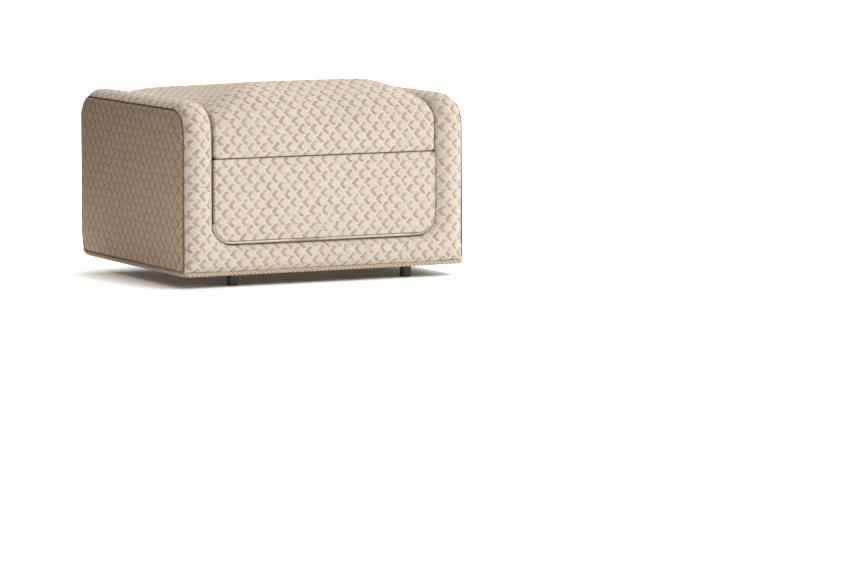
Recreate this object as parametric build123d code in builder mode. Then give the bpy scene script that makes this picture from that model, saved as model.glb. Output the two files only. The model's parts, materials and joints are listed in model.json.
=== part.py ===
from build123d import *
import math
import os

# A one-seat sleeper chair: a flat-topped upholstered block that opens over its front into a single
# bed. Two slab arms, a back and a front rail make the casing. In it lie three slatted sections with
# a mattress each, folded in a Z: the base section is fixed, the middle one lies on it upside down,
# and the top one carries the seat. Lengths are millimetres. X is to the right as seen from the
# front, Y runs back and Z is up, with the origin on the floor under the middle of the block.

os.makedirs("parts", exist_ok=True)

# Outer size of the block
overall_width = 960
overall_depth = 820
overall_height = 560
hem_height = 40
arm_width = 100
back_depth = 60

# Outline of the block seen from the side
top_radius = 90
rear_foot_radius = 70
front_foot_radius = 18
outer_edge_radius = 14

# Front: bottom rail, drop-down flap and the band that belongs to the seat
rail_top = 134
flap_pivot_height = 137
band_drop = 77
border_corner_radius = 60
front_seam = 3
hinge_seam = 6
front_padding = 24
front_board = 12
rail_padding_depth = 18
front_edge_radius = 10
board_inset = 3
board_foot = 8

# Boards and timber of the casing
panel_thickness = 18
arm_lining = 3
back_lining = 16
padding_over_panel = 24
batten_width = 40
batten_depth = 36
cleat_width = 36
cleat_height = 40
block_size = 28
rear_rail_height = 86

# Bed sections
frame_height = 35
base_frame_bottom = 185
side_clearance = 24
tube_width = 25
tube_wall = 1.5
fold_gap = 1
frame_gap = 2
mattress_side_gap = 0.5
mattress_overhang = 9
mattress_corner_radius = 30
mattress_edge_radius = 14
seat_crest = 60
seat_rear_rise = 12
seat_end_width = 215
seat_end_drop = 140
seat_nose_depth = 120
seat_nose_drop = 120
seat_rear_radius = 18
slat_count = 7
slat_margin = 66
slat_width = 46
slat_thickness = 8
slat_recess = 2
slat_end_gap = 2
cap_width = 14
cap_wall = 3

# Fold hinges and the link bars that keep the seat level
hinge_overhang = 10
plate_thickness = 4
plate_gap = 0.5
plate_length = 80
plate_end_gap = 5
hinge_pin_radius = 5
hinge_boss_radius = 11
hinge_back_gap = 4
link_offset = 28
link_half_width = 8
link_boss_radius = 9
link_pin_radius = 4
link_head_radius = 7
link_head_height = 2.5
running_clearance = 0.05
open_pivot_clearance = 0.3

# Folding legs of the two moving sections
leg_tube_radius = 11
leg_tube_wall = 1.5
leg_inset = 35
leg_bend_radius = 45
leg_end_length = 8
leg_pivot_gap = 4
leg_slat_gap = 2
leg_pin_radius = 5
leg_bracket_size = 22
leg_bracket_thickness = 4
foot_wall = 1.5
foot_length = 45
foot_spacing = 300

# Fixed legs of the casing
casing_leg_size = 28
casing_leg_wall = 1.5
casing_leg_inset = 183
casing_leg_corner = 4
glide_height = 9
glide_edge_radius = 3

# Hinge strip of the flap
strip_pivot_depth = 6
strip_knuckle_radius = 2.5
strip_pin_radius = 1
strip_leaf = 1.2
strip_neck = 3
strip_end_gap = 20
strip_knuckles = 9
strip_knuckle_gap = 0.3

# Brackets between the seat frame and the band, and bolts
bracket_sheet = 3
bracket_width = 40
bracket_spacing = 250
bracket_lip = 22
bolt_radius = 4
bolt_head_radius = 8
bolt_head_height = 5
bolt_grip = 8
cleat_bolt_spacing = 240
frame_bolt_setback = 40

# Planes of the block
half_width = overall_width / 2
half_depth = overall_depth / 2
inner_half_width = half_width - arm_width
back_face = half_depth - back_depth
front_half_width = inner_half_width - front_seam
board_front = front_padding - half_depth
board_face = board_front + front_board
rail_board_front = rail_padding_depth - half_depth
rail_board_face = rail_board_front + panel_thickness

# Heights of the folded stack: three sections of equal thickness fill the block
section_half = back_face - hinge_back_gap - hinge_boss_radius - hinge_overhang
section_length = 2 * section_half
bed_half_width = inner_half_width - side_clearance
mattress_height = (overall_height - base_frame_bottom - 3 * frame_height - fold_gap - frame_gap) / 3
base_frame_top = base_frame_bottom + frame_height
fold_height = base_frame_top + mattress_height + fold_gap / 2
middle_frame_bottom = fold_height + fold_gap / 2 + mattress_height
middle_frame_top = middle_frame_bottom + frame_height
seat_hinge_height = middle_frame_top + frame_gap / 2
seat_frame_bottom = seat_hinge_height + frame_gap / 2
seat_frame_top = seat_frame_bottom + frame_height
mattress_half_width = bed_half_width - mattress_side_gap
mattress_half_length = section_half + mattress_overhang
slat_pitch = (section_length - 2 * tube_width - 2 * slat_margin) / (slat_count - 1)

# Hinge lines as (y, z): the fold at the front, the seat hinge at the back, and the link pivots,
# which stand off from both by the same step along the line through them
fold_axis = (-section_half - hinge_overhang, fold_height)
seat_axis = (section_half + hinge_overhang, seat_hinge_height)
link_angle = math.atan2(seat_axis[1] - fold_axis[1], seat_axis[0] - fold_axis[0])
link_step = (link_offset * math.cos(link_angle), link_offset * math.sin(link_angle))
link_ground = (fold_axis[0] - link_step[0], fold_axis[1] - link_step[1])
link_seat = (seat_axis[0] - link_step[0], seat_axis[1] - link_step[1])
inner_plate = bed_half_width
outer_plate = inner_plate + plate_thickness + plate_gap
link_plane = outer_plate + plate_thickness + plate_gap

# Leg pivots as (y, z): opened, both stand at the same height, which is the length of the legs
slat_room = slat_recess + slat_thickness + leg_slat_gap + leg_tube_radius
leg_pivot_y = section_half - tube_width - leg_tube_radius - leg_pivot_gap
middle_leg_axis = (leg_pivot_y, middle_frame_bottom + slat_room)
seat_leg_axis = (-leg_pivot_y, seat_frame_top - slat_room)
leg_length = 2 * fold_height - middle_leg_axis[1]
leg_half_width = bed_half_width - tube_width - leg_inset
foot_radius = leg_tube_radius + foot_wall

# Seams of the front
band_seam_height = seat_frame_top - band_drop
strip_length = 2 * (inner_half_width - border_corner_radius - strip_end_gap)
flap_axis = (strip_pivot_depth - half_depth, flap_pivot_height)
flap_bottom = flap_pivot_height + hinge_seam / 2
flap_top = band_seam_height - front_seam / 2
band_bottom = band_seam_height + front_seam / 2
flap_corner_radius = border_corner_radius - hinge_seam + front_seam / 3

# Casing timber
panel_inside = inner_half_width + arm_lining
batten_inside = panel_inside + panel_thickness
batten_outside = batten_inside + batten_depth
cleat_inside = inner_half_width - cleat_width
cleat_top = base_frame_bottom
cleat_bottom = cleat_top - cleat_height
back_panel_front = back_face + back_lining
rear_rail_front = back_face - panel_thickness
cleat_bolt_height = (cleat_top + cleat_bottom) / 2
frame_bolt_spacing = 2 * (cleat_bolt_spacing - frame_bolt_setback)
frame_bolt_x = bed_half_width - tube_width / 3


def write(part, name):
    part.label = name
    export_step(part, f"parts/{name}.step")


def side_outline(x, inset):
    """The block seen from the side, drawn in by inset: round at the top and at the rear foot."""
    with BuildSketch(Plane.YZ.offset(x)) as outline:
        with Locations((0, (overall_height + hem_height) / 2)):
            Rectangle(overall_depth - 2 * inset, overall_height - hem_height - 2 * inset)
        fillet(outline.vertices().group_by(Axis.Y)[-1], top_radius - inset)
        fillet(outline.vertices().group_by(Axis.Y)[0].sort_by(Axis.X)[-1], rear_foot_radius - inset)
        if front_foot_radius > inset:
            front_foot = outline.vertices().sort_by(Axis.Y)[0:2].sort_by(Axis.X)[0]
            fillet(front_foot, front_foot_radius - inset)
    return outline.sketch


def bar(low, high):
    """A square-edged bar between two opposite corners, added to the open part."""
    with Locations(tuple((a + b) / 2 for a, b in zip(low, high))):
        Box(*(b - a for a, b in zip(low, high)))


def both_sides(low, high):
    """The same bar on the right side and, mirrored, on the left."""
    bar(low, high)
    bar((-high[0], low[1], low[2]), (-low[0], high[1], high[2]))


def side_bore(places, radius, length):
    """Bores along X at (x, y, z) places, cut from the open part."""
    with Locations([Location(place, (0, 90, 0)) for place in places]):
        Cylinder(radius, length, mode=Mode.SUBTRACT)


# Arms: a plywood side with four battens, wrapped in padding and cover
frame_front = padding_over_panel - half_depth
frame_back = half_depth - padding_over_panel
frame_low = hem_height + padding_over_panel
frame_high = overall_height - padding_over_panel
cleat_bolt_rows = [step * cleat_bolt_spacing for step in (-1, 0, 1)]
for side_name, side in (("left", -1), ("right", 1)):
    bolt_places = [(side * panel_inside, y, cleat_bolt_height) for y in cleat_bolt_rows]
    with BuildPart() as arm_panel:
        extrude(side_outline(side * panel_inside, padding_over_panel), amount=side * panel_thickness)
        side_bore(bolt_places, bolt_radius, 3 * panel_thickness)
    write(arm_panel.part, f"{side_name}_arm_panel")

    with BuildPart() as arm_battens:
        x_low, x_high = sorted((side * batten_inside, side * batten_outside))
        upright_top = frame_high - top_radius
        bar((x_low, frame_front, frame_low), (x_high, frame_front + batten_width, upright_top))
        rear_foot = frame_low + rear_foot_radius
        bar((x_low, frame_back - batten_width, rear_foot), (x_high, frame_back, upright_top))
        upper_run = (frame_front + top_radius, frame_back - top_radius)
        bar((x_low, upper_run[0], frame_high - batten_width), (x_high, upper_run[1], frame_high))
        lower_run = (frame_front + batten_width, frame_back - rear_foot_radius)
        bar((x_low, lower_run[0], frame_low), (x_high, lower_run[1], frame_low + batten_width))
    write(arm_battens.part, f"{side_name}_arm_battens")

    with BuildPart() as arm_padding:
        extrude(side_outline(side * inner_half_width, 0), amount=side * arm_width)
        outside = arm_padding.faces().sort_by(Axis.X)[0 if side < 0 else -1]
        fillet(outside.edges(), outer_edge_radius)
        add(arm_panel.part, mode=Mode.SUBTRACT)
        add(arm_battens.part, mode=Mode.SUBTRACT)
        side_bore(bolt_places, bolt_radius, 2 * panel_thickness)
    write(arm_padding.part, f"{side_name}_arm_padding")

# Back: a panel between the arms, wrapped in padding that takes the side outline of the block
with BuildPart() as back_panel:
    bar(
        (-inner_half_width, back_panel_front, frame_low),
        (inner_half_width, back_panel_front + panel_thickness, frame_high - top_radius / 2),
    )
write(back_panel.part, "back_panel")

with BuildPart() as back_padding:
    extrude(side_outline(-inner_half_width, 0), amount=2 * inner_half_width)
    split(bisect_by=Plane.XZ.offset(-back_face), keep=Keep.BOTTOM)
    add(back_panel.part, mode=Mode.SUBTRACT)
write(back_padding.part, "back_padding")


# Front rail: board and padding share the outline of the border, whose inner corners are round
def rail_outline(y, foot):
    with BuildSketch(Plane.XZ.offset(-y)) as outline:
        with BuildLine():
            corner = inner_half_width - border_corner_radius
            shoulder = rail_top + border_corner_radius
            Polyline(
                (-inner_half_width, shoulder), (-inner_half_width, foot),
                (inner_half_width, foot), (inner_half_width, shoulder),
            )
            CenterArc((corner, shoulder), border_corner_radius, 0, -90)
            Line((corner, rail_top), (-corner, rail_top))
            CenterArc((-corner, shoulder), border_corner_radius, -90, -90)
        make_face()
    return outline.sketch


with BuildPart() as front_rail_board:
    extrude(rail_outline(rail_board_front, hem_height + board_foot), amount=-panel_thickness)
write(front_rail_board.part, "front_rail_board")

with BuildPart() as rail_padding:
    extrude(rail_outline(-half_depth, hem_height), amount=-rail_padding_depth)
    front = rail_padding.faces().sort_by(Axis.Y)[0]
    top_edge = front.edges().filter_by(Axis.X).sort_by(Axis.Z)[-1:]
    fillet(front.edges().filter_by(GeomType.CIRCLE) + top_edge, front_edge_radius)
write(rail_padding.part, "rail_padding")

# Timber in the casing: rear rail, cleats under the base section and corner blocks
with BuildPart() as rear_rail_board:
    bar(
        (-inner_half_width, rear_rail_front, hem_height + board_foot),
        (inner_half_width, back_face, hem_height + board_foot + rear_rail_height),
    )
write(rear_rail_board.part, "rear_rail_board")

with BuildPart() as side_cleats:
    both_sides((cleat_inside, board_face, cleat_bottom), (inner_half_width, back_face, cleat_top))
    cleat_middle = (cleat_inside + inner_half_width) / 2
    cleat_bores = [(s * cleat_middle, y, cleat_bolt_height) for s in (-1, 1) for y in cleat_bolt_rows]
    side_bore(cleat_bores, bolt_radius, 2 * cleat_width)
    with Locations((0, 0, cleat_bottom)), GridLocations(2 * frame_bolt_x, frame_bolt_spacing, 2, 2):
        Cylinder(bolt_radius, 3 * cleat_height, mode=Mode.SUBTRACT)
write(side_cleats.part, "side_cleats")

with BuildPart() as corner_blocks:
    block_low, block_high = hem_height + board_foot, rail_top
    for y_low in (rail_board_face, rear_rail_front - block_size):
        block_inside = inner_half_width - block_size
        both_sides((block_inside, y_low, block_low), (inner_half_width, y_low + block_size, block_high))
write(corner_blocks.part, "corner_blocks")

with BuildPart() as cleat_bolts:
    for side in (-1, 1):
        with BuildSketch(Plane.YZ.offset(side * cleat_inside)):
            with Locations(*[(y, cleat_bolt_height) for y in cleat_bolt_rows]):
                Circle(bolt_radius)
        extrude(amount=side * (batten_inside - cleat_inside))
        with BuildSketch(Plane.YZ.offset(side * cleat_inside)):
            with Locations(*[(y, cleat_bolt_height) for y in cleat_bolt_rows]):
                Circle(bolt_head_radius)
        extrude(amount=-side * bolt_head_height)
write(cleat_bolts.part, "cleat_bolts")

with BuildPart() as frame_bolts:
    with Locations((0, 0, cleat_bottom)), GridLocations(2 * frame_bolt_x, frame_bolt_spacing, 2, 2):
        Cylinder(bolt_radius, cleat_height + bolt_grip, align=(Align.CENTER, Align.CENTER, Align.MIN))
        Cylinder(bolt_head_radius, bolt_head_height, align=(Align.CENTER, Align.CENTER, Align.MAX))
write(frame_bolts.part, "frame_bolts")

# Fixed legs: square tubes on the inner faces of the two rails, on plastic glides
casing_leg_x = half_width - casing_leg_inset
casing_leg_top = rail_top
front_leg_y = rail_board_face + casing_leg_size / 2
rear_leg_y = rear_rail_front - casing_leg_size / 2
for leg_name, leg_y in (("front_legs", front_leg_y), ("rear_legs", rear_leg_y)):
    with BuildPart() as casing_legs:
        with BuildSketch(Plane.XY.offset(glide_height)):
            with Locations((-casing_leg_x, leg_y), (casing_leg_x, leg_y)):
                RectangleRounded(casing_leg_size, casing_leg_size, casing_leg_corner)
                inner_size = casing_leg_size - 2 * casing_leg_wall
                inner_corner = casing_leg_corner - casing_leg_wall
                RectangleRounded(inner_size, inner_size, inner_corner, mode=Mode.SUBTRACT)
        extrude(amount=casing_leg_top - glide_height)
    write(casing_legs.part, leg_name)

with BuildPart() as leg_glides:
    glide_places = [(s * casing_leg_x, y) for s in (-1, 1) for y in (front_leg_y, rear_leg_y)]
    with BuildSketch():
        with Locations(*glide_places):
            RectangleRounded(casing_leg_size, casing_leg_size, casing_leg_corner)
    extrude(amount=glide_height)
    fillet(leg_glides.faces().group_by(Axis.Z)[0].edges(), glide_edge_radius)
write(leg_glides.part, "leg_glides")


# Bed sections: a welded tube frame, sprung slats in plastic caps and a mattress
def section_frame(bottom):
    """A closed ring of rectangular tube, hollow all round."""
    with BuildPart() as ring:
        with BuildSketch(Plane.XY.offset(bottom)):
            Rectangle(2 * bed_half_width, section_length)
            opening_width = 2 * (bed_half_width - tube_width)
            Rectangle(opening_width, section_length - 2 * tube_width, mode=Mode.SUBTRACT)
        extrude(amount=frame_height)
        with BuildSketch(Plane.XY.offset(bottom + tube_wall)):
            Rectangle(2 * (bed_half_width - tube_wall), section_length - 2 * tube_wall)
            hollow = tube_width - tube_wall
            Rectangle(2 * (bed_half_width - hollow), section_length - 2 * hollow, mode=Mode.SUBTRACT)
        extrude(amount=frame_height - 2 * tube_wall, mode=Mode.SUBTRACT)
    return ring.part


def slats(low, high):
    """The row of cross slats between two heights."""
    with BuildPart() as row:
        with BuildSketch(Plane.XY.offset(low)):
            with GridLocations(0, slat_pitch, 1, slat_count):
                Rectangle(2 * (bed_half_width - tube_width - slat_end_gap), slat_width)
        extrude(amount=high - low)
    return row.part


def slat_caps(low, high, row):
    """Caps on the inner faces of the side tubes, each a socket round one end of a slat."""
    with BuildPart() as caps:
        with BuildSketch(Plane.XY.offset(low)):
            cap_x = bed_half_width - tube_width - cap_width / 2
            with GridLocations(2 * cap_x, slat_pitch, 2, slat_count):
                Rectangle(cap_width, slat_width + 2 * cap_wall)
        extrude(amount=high - low)
        add(row, mode=Mode.SUBTRACT)
    return caps.part


def mattress(bottom):
    """A boxed mattress whose edges are drawn in at the seams."""
    with BuildPart() as body:
        with BuildSketch(Plane.XY.offset(bottom)):
            RectangleRounded(2 * mattress_half_width, 2 * mattress_half_length, mattress_corner_radius)
        extrude(amount=mattress_height)
        rims = body.faces().sort_by(Axis.Z)
        fillet(rims[0].edges() + rims[-1].edges(), mattress_edge_radius)
    return body.part


# Each frame carries its slats on the side of its mattress: above in the base and the seat, below
# in the middle section, which lies upside down
slat_levels = {
    "base": (base_frame_bottom, base_frame_top - slat_recess - slat_thickness, 1),
    "middle": (middle_frame_bottom, middle_frame_bottom + slat_recess, -1),
    "seat": (seat_frame_bottom, seat_frame_top - slat_recess - slat_thickness, 1),
}
frames = {}
for section_name, (frame_bottom, slat_low, up) in slat_levels.items():
    frames[section_name] = section_frame(frame_bottom)
    slat_row = slats(slat_low, slat_low + slat_thickness)
    write(slat_row, f"{section_name}_slats")
    cap_low = slat_low - (cap_wall if up > 0 else slat_recess)
    cap_high = slat_low + slat_thickness + (slat_recess if up > 0 else cap_wall)
    write(slat_caps(cap_low, cap_high, slat_row), f"{section_name}_slat_caps")

with BuildPart() as base_frame:
    add(frames["base"])
    with Locations((0, 0, base_frame_bottom)), GridLocations(2 * frame_bolt_x, frame_bolt_spacing, 2, 2):
        Cylinder(bolt_radius, 4 * tube_wall, mode=Mode.SUBTRACT)
write(base_frame.part, "base_frame")
write(frames["middle"], "middle_frame")
write(frames["seat"], "seat_frame")
write(mattress(base_frame_top), "base_mattress")
write(mattress(fold_height + fold_gap / 2), "middle_mattress")

# Seat cushion: its crest stands over the arms behind a deep round nose, falls in an elliptical
# curve to both ends, and slopes down to the back
with BuildPart() as seat_cushion:
    crest = overall_height + seat_crest
    with BuildSketch(Plane.XZ.offset(-mattress_half_length)):
        with BuildLine():
            shoulder = front_half_width - seat_end_width
            end_height = crest - seat_end_drop
            right_foot, left_foot = (front_half_width, seat_frame_top), (-front_half_width, seat_frame_top)
            Line(left_foot, right_foot)
            Line(right_foot, (front_half_width, end_height))
            EllipticalCenterArc((shoulder, end_height), seat_end_width, seat_end_drop, start_angle=0, arc_size=90)
            Line((shoulder, crest), (-shoulder, crest))
            EllipticalCenterArc((-shoulder, end_height), seat_end_width, seat_end_drop, start_angle=90, arc_size=90)
            Line((-front_half_width, end_height), left_foot)
        make_face()
    extrude(amount=mattress_half_length + half_depth)
    with BuildSketch(Plane.YZ):
        with BuildLine():
            nose_y = seat_nose_depth - half_depth
            nose_low = crest - seat_nose_drop
            rear_top = (mattress_half_length, overall_height + seat_rear_rise)
            Line((mattress_half_length, seat_frame_top), (-half_depth, seat_frame_top))
            Line((-half_depth, seat_frame_top), (-half_depth, nose_low))
            EllipticalCenterArc((nose_y, nose_low), seat_nose_depth, seat_nose_drop, start_angle=90, arc_size=90)
            Line((nose_y, crest), rear_top)
            Line(rear_top, (mattress_half_length, seat_frame_top))
        make_face()
        fillet(vertices().group_by(Axis.Y)[-1].sort_by(Axis.X)[-1], seat_rear_radius)
    extrude(amount=front_half_width, both=True, mode=Mode.INTERSECT)
write(seat_cushion.part, "seat_cushion")


# Front band under the seat cushion and front flap below it: each a board with padding in front
def front_outline(y, low, high, inset):
    with BuildSketch(Plane.XZ.offset(-y)) as outline:
        with Locations((0, (low + high) / 2)):
            Rectangle(2 * (front_half_width - inset), high - low)
    return outline.sketch


def flap_outline(y, inset):
    with BuildSketch(Plane.XZ.offset(-y)) as outline:
        with Locations((0, (flap_bottom + flap_top - inset) / 2)):
            Rectangle(2 * (front_half_width - inset), flap_top - flap_bottom - inset)
        fillet(outline.vertices().group_by(Axis.Y)[0], flap_corner_radius - inset)
    return outline.sketch


with BuildPart() as band_board:
    band_face = front_outline(board_front, band_bottom + board_inset, seat_frame_top, board_inset)
    extrude(band_face, amount=-front_board)
write(band_board.part, "band_board")

with BuildPart() as band_padding:
    extrude(front_outline(-half_depth, band_bottom, seat_frame_top, 0), amount=-front_padding)
    band_front = band_padding.faces().sort_by(Axis.Y)[0]
    fillet(band_front.edges().sort_by(Axis.Z)[0], front_edge_radius)
write(band_padding.part, "band_padding")

with BuildPart() as flap_board:
    extrude(flap_outline(board_front, board_inset), amount=-front_board)
write(flap_board.part, "flap_board")

with BuildPart() as flap_padding:
    extrude(flap_outline(-half_depth, 0), amount=-front_padding)
    fillet(flap_padding.faces().sort_by(Axis.Y)[0].edges(), front_edge_radius)
write(flap_padding.part, "flap_padding")

# Brackets that carry the band on the front tube of the seat frame
with BuildPart() as band_brackets:
    lip_low = seat_frame_top - bracket_lip
    for x in (-bracket_spacing, 0, bracket_spacing):
        x_low, x_high = x - bracket_width / 2, x + bracket_width / 2
        bar((x_low, board_face, lip_low), (x_high, board_face + bracket_sheet, seat_frame_top))
        bar((x_low, -section_half - bracket_sheet, lip_low), (x_high, -section_half, seat_frame_top))
        bar((x_low, board_face, lip_low), (x_high, -section_half, lip_low + bracket_sheet))
write(band_brackets.part, "band_brackets")


# Fold hinges: pressed plates on the sides of the frames. Each is a strip along its frame drawn out
# to the round bosses of its pivots.
def plate_pair(x, strip_y, strip_z, bosses, bores, spacer=0):
    """A plate on each side, from x outwards, with a spacer strip towards its frame."""
    with BuildPart() as plates:
        with BuildSketch(Plane.YZ.offset(x)) as outline:
            with Locations((sum(strip_y) / 2, sum(strip_z) / 2)):
                Rectangle(strip_y[1] - strip_y[0], strip_z[1] - strip_z[0])
            for centre, radius in bosses:
                with Locations(centre):
                    Circle(radius)
            make_hull()
            for centre, radius in bores:
                with Locations(centre):
                    Circle(radius, mode=Mode.SUBTRACT)
        extrude(amount=plate_thickness)
        if spacer:
            spacer_y = (strip_y[0] + plate_end_gap, strip_y[1] - plate_end_gap)
            bar((x - spacer, spacer_y[0], strip_z[0]), (x, spacer_y[1], strip_z[1]))
        mirror(about=Plane.YZ)
    return plates.part


front_strip = (-section_half, plate_length - section_half)
rear_strip = (section_half - plate_length, section_half)
middle_span = (middle_frame_bottom, middle_frame_top)
spacer_thickness = outer_plate - inner_plate
fold_boss = (fold_axis, hinge_boss_radius)
seat_boss = (seat_axis, hinge_boss_radius)
running_bore = hinge_pin_radius + running_clearance
write(
    plate_pair(
        outer_plate, front_strip, (base_frame_bottom, base_frame_top),
        [fold_boss, (link_ground, link_boss_radius)],
        [(fold_axis, hinge_pin_radius), (link_ground, link_pin_radius)],
        spacer_thickness,
    ),
    "base_hinge_plates",
)
write(
    plate_pair(inner_plate, front_strip, middle_span, [fold_boss], [(fold_axis, running_bore)]),
    "middle_front_plates",
)
write(
    plate_pair(inner_plate, rear_strip, middle_span, [seat_boss], [(seat_axis, hinge_pin_radius)]),
    "middle_rear_plates",
)
write(
    plate_pair(
        outer_plate, rear_strip, (seat_axis[1] + hinge_boss_radius + plate_gap, seat_frame_top),
        [seat_boss, (link_seat, link_boss_radius)],
        [(seat_axis, running_bore), (link_seat, link_pin_radius)],
        spacer_thickness,
    ),
    "seat_hinge_plates",
)

# Pins: rivets in both hinge lines, headed pins for the link bars
for pin_name, (y, z) in (("fold_pins", fold_axis), ("seat_pins", seat_axis)):
    with BuildPart() as pins:
        with BuildSketch(Plane.YZ.offset(inner_plate)):
            with Locations((y, z)):
                Circle(hinge_pin_radius)
        extrude(amount=outer_plate + plate_thickness - inner_plate)
        mirror(about=Plane.YZ)
    write(pins.part, pin_name)

for pin_name, (y, z) in (("link_ground_pins", link_ground), ("link_seat_pins", link_seat)):
    with BuildPart() as pins:
        with BuildSketch(Plane.YZ.offset(outer_plate)):
            with Locations((y, z)):
                Circle(link_pin_radius)
        extrude(amount=link_plane + plate_thickness + plate_gap - outer_plate)
        with BuildSketch(Plane.YZ.offset(link_plane + plate_thickness + plate_gap)):
            with Locations((y, z)):
                Circle(link_head_radius)
        extrude(amount=link_head_height)
        mirror(about=Plane.YZ)
    write(pins.part, pin_name)

with BuildPart() as link_bars:
    with BuildSketch(Plane.YZ.offset(link_plane)):
        with Locations(link_ground, link_seat):
            Circle(link_half_width)
        make_hull()
        with Locations(link_ground):
            Circle(link_pin_radius + running_clearance, mode=Mode.SUBTRACT)
        with Locations(link_seat):
            Circle(link_pin_radius + open_pivot_clearance, mode=Mode.SUBTRACT)
    extrude(amount=plate_thickness)
    mirror(about=Plane.YZ)
write(link_bars.part, "link_bars")


# Folding legs: a bent U of round tube on two lugs, with plastic clips as feet
def folding_leg(axis, way):
    """The U from its pivots along Y, way 1 to the back and -1 to the front."""
    y, z = axis
    foot_y = y + way * (leg_length - foot_radius)
    start_y = y - way * leg_end_length
    with BuildPart() as tube:
        with BuildLine(Plane.XY.offset(z)) as route:
            FilletPolyline(
                (-leg_half_width, start_y), (-leg_half_width, foot_y),
                (leg_half_width, foot_y), (leg_half_width, start_y),
                radius=leg_bend_radius,
            )
        with BuildSketch(Plane((-leg_half_width, start_y, z), x_dir=(1, 0, 0), z_dir=(0, way, 0))):
            Circle(leg_tube_radius)
            Circle(leg_tube_radius - leg_tube_wall, mode=Mode.SUBTRACT)
        sweep(path=route.line)
        pin_bores = [(s * leg_half_width, y, z) for s in (-1, 1)]
        side_bore(pin_bores, leg_pin_radius + running_clearance, 4 * leg_tube_radius)
    with BuildPart() as feet:
        with Locations([Location((s * foot_spacing / 2, foot_y, z), (0, 90, 0)) for s in (-1, 1)]):
            Cylinder(foot_radius, foot_length)
            Cylinder(leg_tube_radius, foot_length, mode=Mode.SUBTRACT)
    return tube.part, feet.part


def leg_lugs(axis):
    """A square lug on the inner face of each side tube, with the pin that the leg turns on."""
    y, z = axis
    with BuildPart() as lugs:
        lug_outside = bed_half_width - tube_width
        with BuildSketch(Plane.YZ.offset(lug_outside)):
            with Locations((y, z)):
                RectangleRounded(leg_bracket_size, leg_bracket_size, leg_bracket_thickness)
        extrude(amount=-leg_bracket_thickness)
        with BuildSketch(Plane.YZ.offset(lug_outside - leg_bracket_thickness)):
            with Locations((y, z)):
                Circle(leg_pin_radius)
        pin_end = leg_half_width - leg_tube_radius - leg_tube_wall
        extrude(amount=pin_end - lug_outside + leg_bracket_thickness)
        mirror(about=Plane.YZ)
    return lugs.part


for section_name, axis, way in (("middle", middle_leg_axis, -1), ("seat", seat_leg_axis, 1)):
    leg_tube, leg_feet = folding_leg(axis, way)
    write(leg_tube, f"{section_name}_leg_tube")
    write(leg_feet, f"{section_name}_leg_feet")
    write(leg_lugs(axis), f"{section_name}_leg_lugs")


# Hinge strip between the rail and the flap: a leaf on each, with knuckles in turn on one pin
def strip_leaf_part(first, up):
    """The leaf on one side of the pin, up or down, with every second knuckle from the first."""
    y, z = flap_axis
    pitch = strip_length / strip_knuckles
    leaf_z = sorted((z + up * hinge_seam / 2, z + up * (hinge_seam / 2 - strip_leaf)))
    with BuildPart() as leaf:
        leaf_back = board_face - board_inset
        bar((-strip_length / 2, y + strip_neck, leaf_z[0]), (strip_length / 2, leaf_back, leaf_z[1]))
        for knuckle in range(first, strip_knuckles, 2):
            x_low = -strip_length / 2 + knuckle * pitch + strip_knuckle_gap / 2
            x_high = x_low + pitch - strip_knuckle_gap
            with BuildSketch(Plane.YZ.offset(x_low)):
                with Locations((y, z)):
                    Circle(strip_knuckle_radius)
                with Locations((y + strip_neck / 2, sum(leaf_z) / 2)):
                    Rectangle(strip_neck, strip_leaf)
                with Locations((y, z)):
                    Circle(strip_pin_radius + running_clearance, mode=Mode.SUBTRACT)
            extrude(amount=x_high - x_low)
    return leaf.part


write(strip_leaf_part(0, -1), "flap_fixed_leaf")
write(strip_leaf_part(1, 1), "flap_moving_leaf")

with BuildPart() as flap_pin:
    with BuildSketch(Plane.YZ.offset(-strip_length / 2)):
        with Locations(flap_axis):
            Circle(strip_pin_radius)
    extrude(amount=strip_length)
write(flap_pin.part, "flap_pin")
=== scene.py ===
import json
import math

import bpy
import numpy as np
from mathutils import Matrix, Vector


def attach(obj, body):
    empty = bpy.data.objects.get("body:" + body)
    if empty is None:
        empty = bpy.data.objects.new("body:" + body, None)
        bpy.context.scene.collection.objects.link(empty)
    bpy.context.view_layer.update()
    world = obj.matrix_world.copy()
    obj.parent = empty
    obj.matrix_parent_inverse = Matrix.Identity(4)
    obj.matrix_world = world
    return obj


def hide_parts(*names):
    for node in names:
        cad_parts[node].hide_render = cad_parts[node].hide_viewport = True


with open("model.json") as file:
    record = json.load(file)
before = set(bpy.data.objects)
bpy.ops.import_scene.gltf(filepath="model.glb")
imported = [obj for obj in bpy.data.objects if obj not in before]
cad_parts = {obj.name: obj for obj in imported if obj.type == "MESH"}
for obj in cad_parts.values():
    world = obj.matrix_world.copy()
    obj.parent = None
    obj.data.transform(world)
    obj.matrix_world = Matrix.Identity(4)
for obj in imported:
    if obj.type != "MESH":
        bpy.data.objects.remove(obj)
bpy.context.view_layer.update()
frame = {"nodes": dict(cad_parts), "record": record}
nodes = frame["nodes"]
bpy.ops.object.select_all(action="DESELECT")

# Camera: it stands far off, in front of the block on its left and a little above it. The block is
# left of the middle of the picture, as in the photograph.
camera_turn = math.radians(-26.915)
picture_half_angle = math.radians(4.91)
camera_pitch = math.radians(6.125)
camera_distance = 16.065
camera_aim = Vector((0.5644, 0.0, -0.0902))
picture_width = 859
focal_pixels = 5000
sensor_width = 36

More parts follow.
